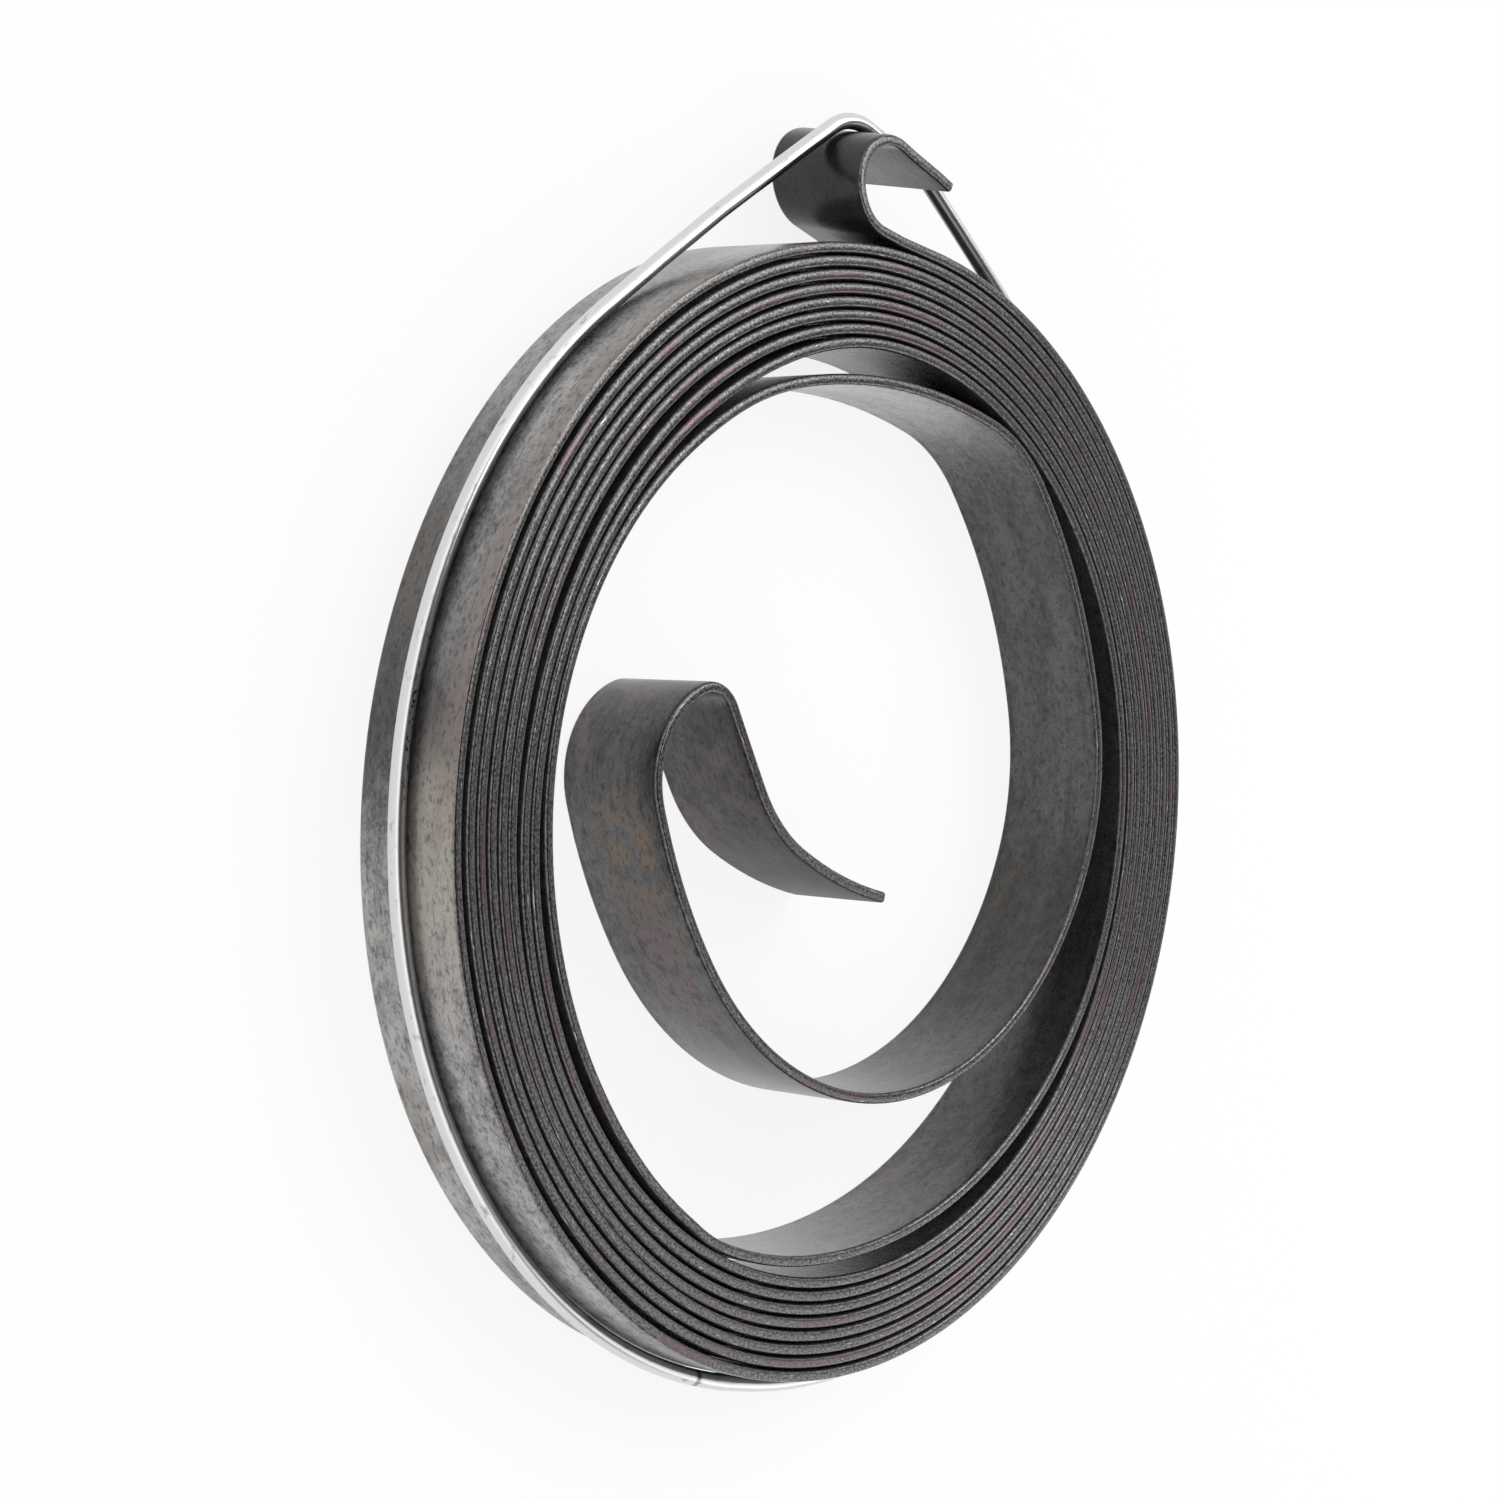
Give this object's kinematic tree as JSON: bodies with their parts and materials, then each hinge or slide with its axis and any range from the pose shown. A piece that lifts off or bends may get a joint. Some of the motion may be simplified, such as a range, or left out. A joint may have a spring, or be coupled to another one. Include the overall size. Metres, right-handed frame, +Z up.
{
  "type": "recoil starter spring",
  "caption": "Flat spiral spring of dark blued steel strip with a hook at each end, held wound by a ring of bright wire, for a recoil starter.",
  "frame": {"origin": "on the coil's axis, level with the lower edges of the strip that the spring lies on", "axes": "+Z up along the coil's axis; the outer hook's tail leaves the coil at +Y and runs towards -X; the strip runs clockwise inward seen from +Z"},
  "size_m": [0.0778, 0.085, 0.008],
  "materials": {
    "blued_steel": "dark blued strip, semi-gloss, with brown heat tints and fine rolling marks",
    "bright_wire": "bright drawn wire with small marks"
  },
  "bodies": {
    "root": {"spring_strip": "blued_steel", "retaining_wire": "bright_wire"}
  },
  "joints": []
}
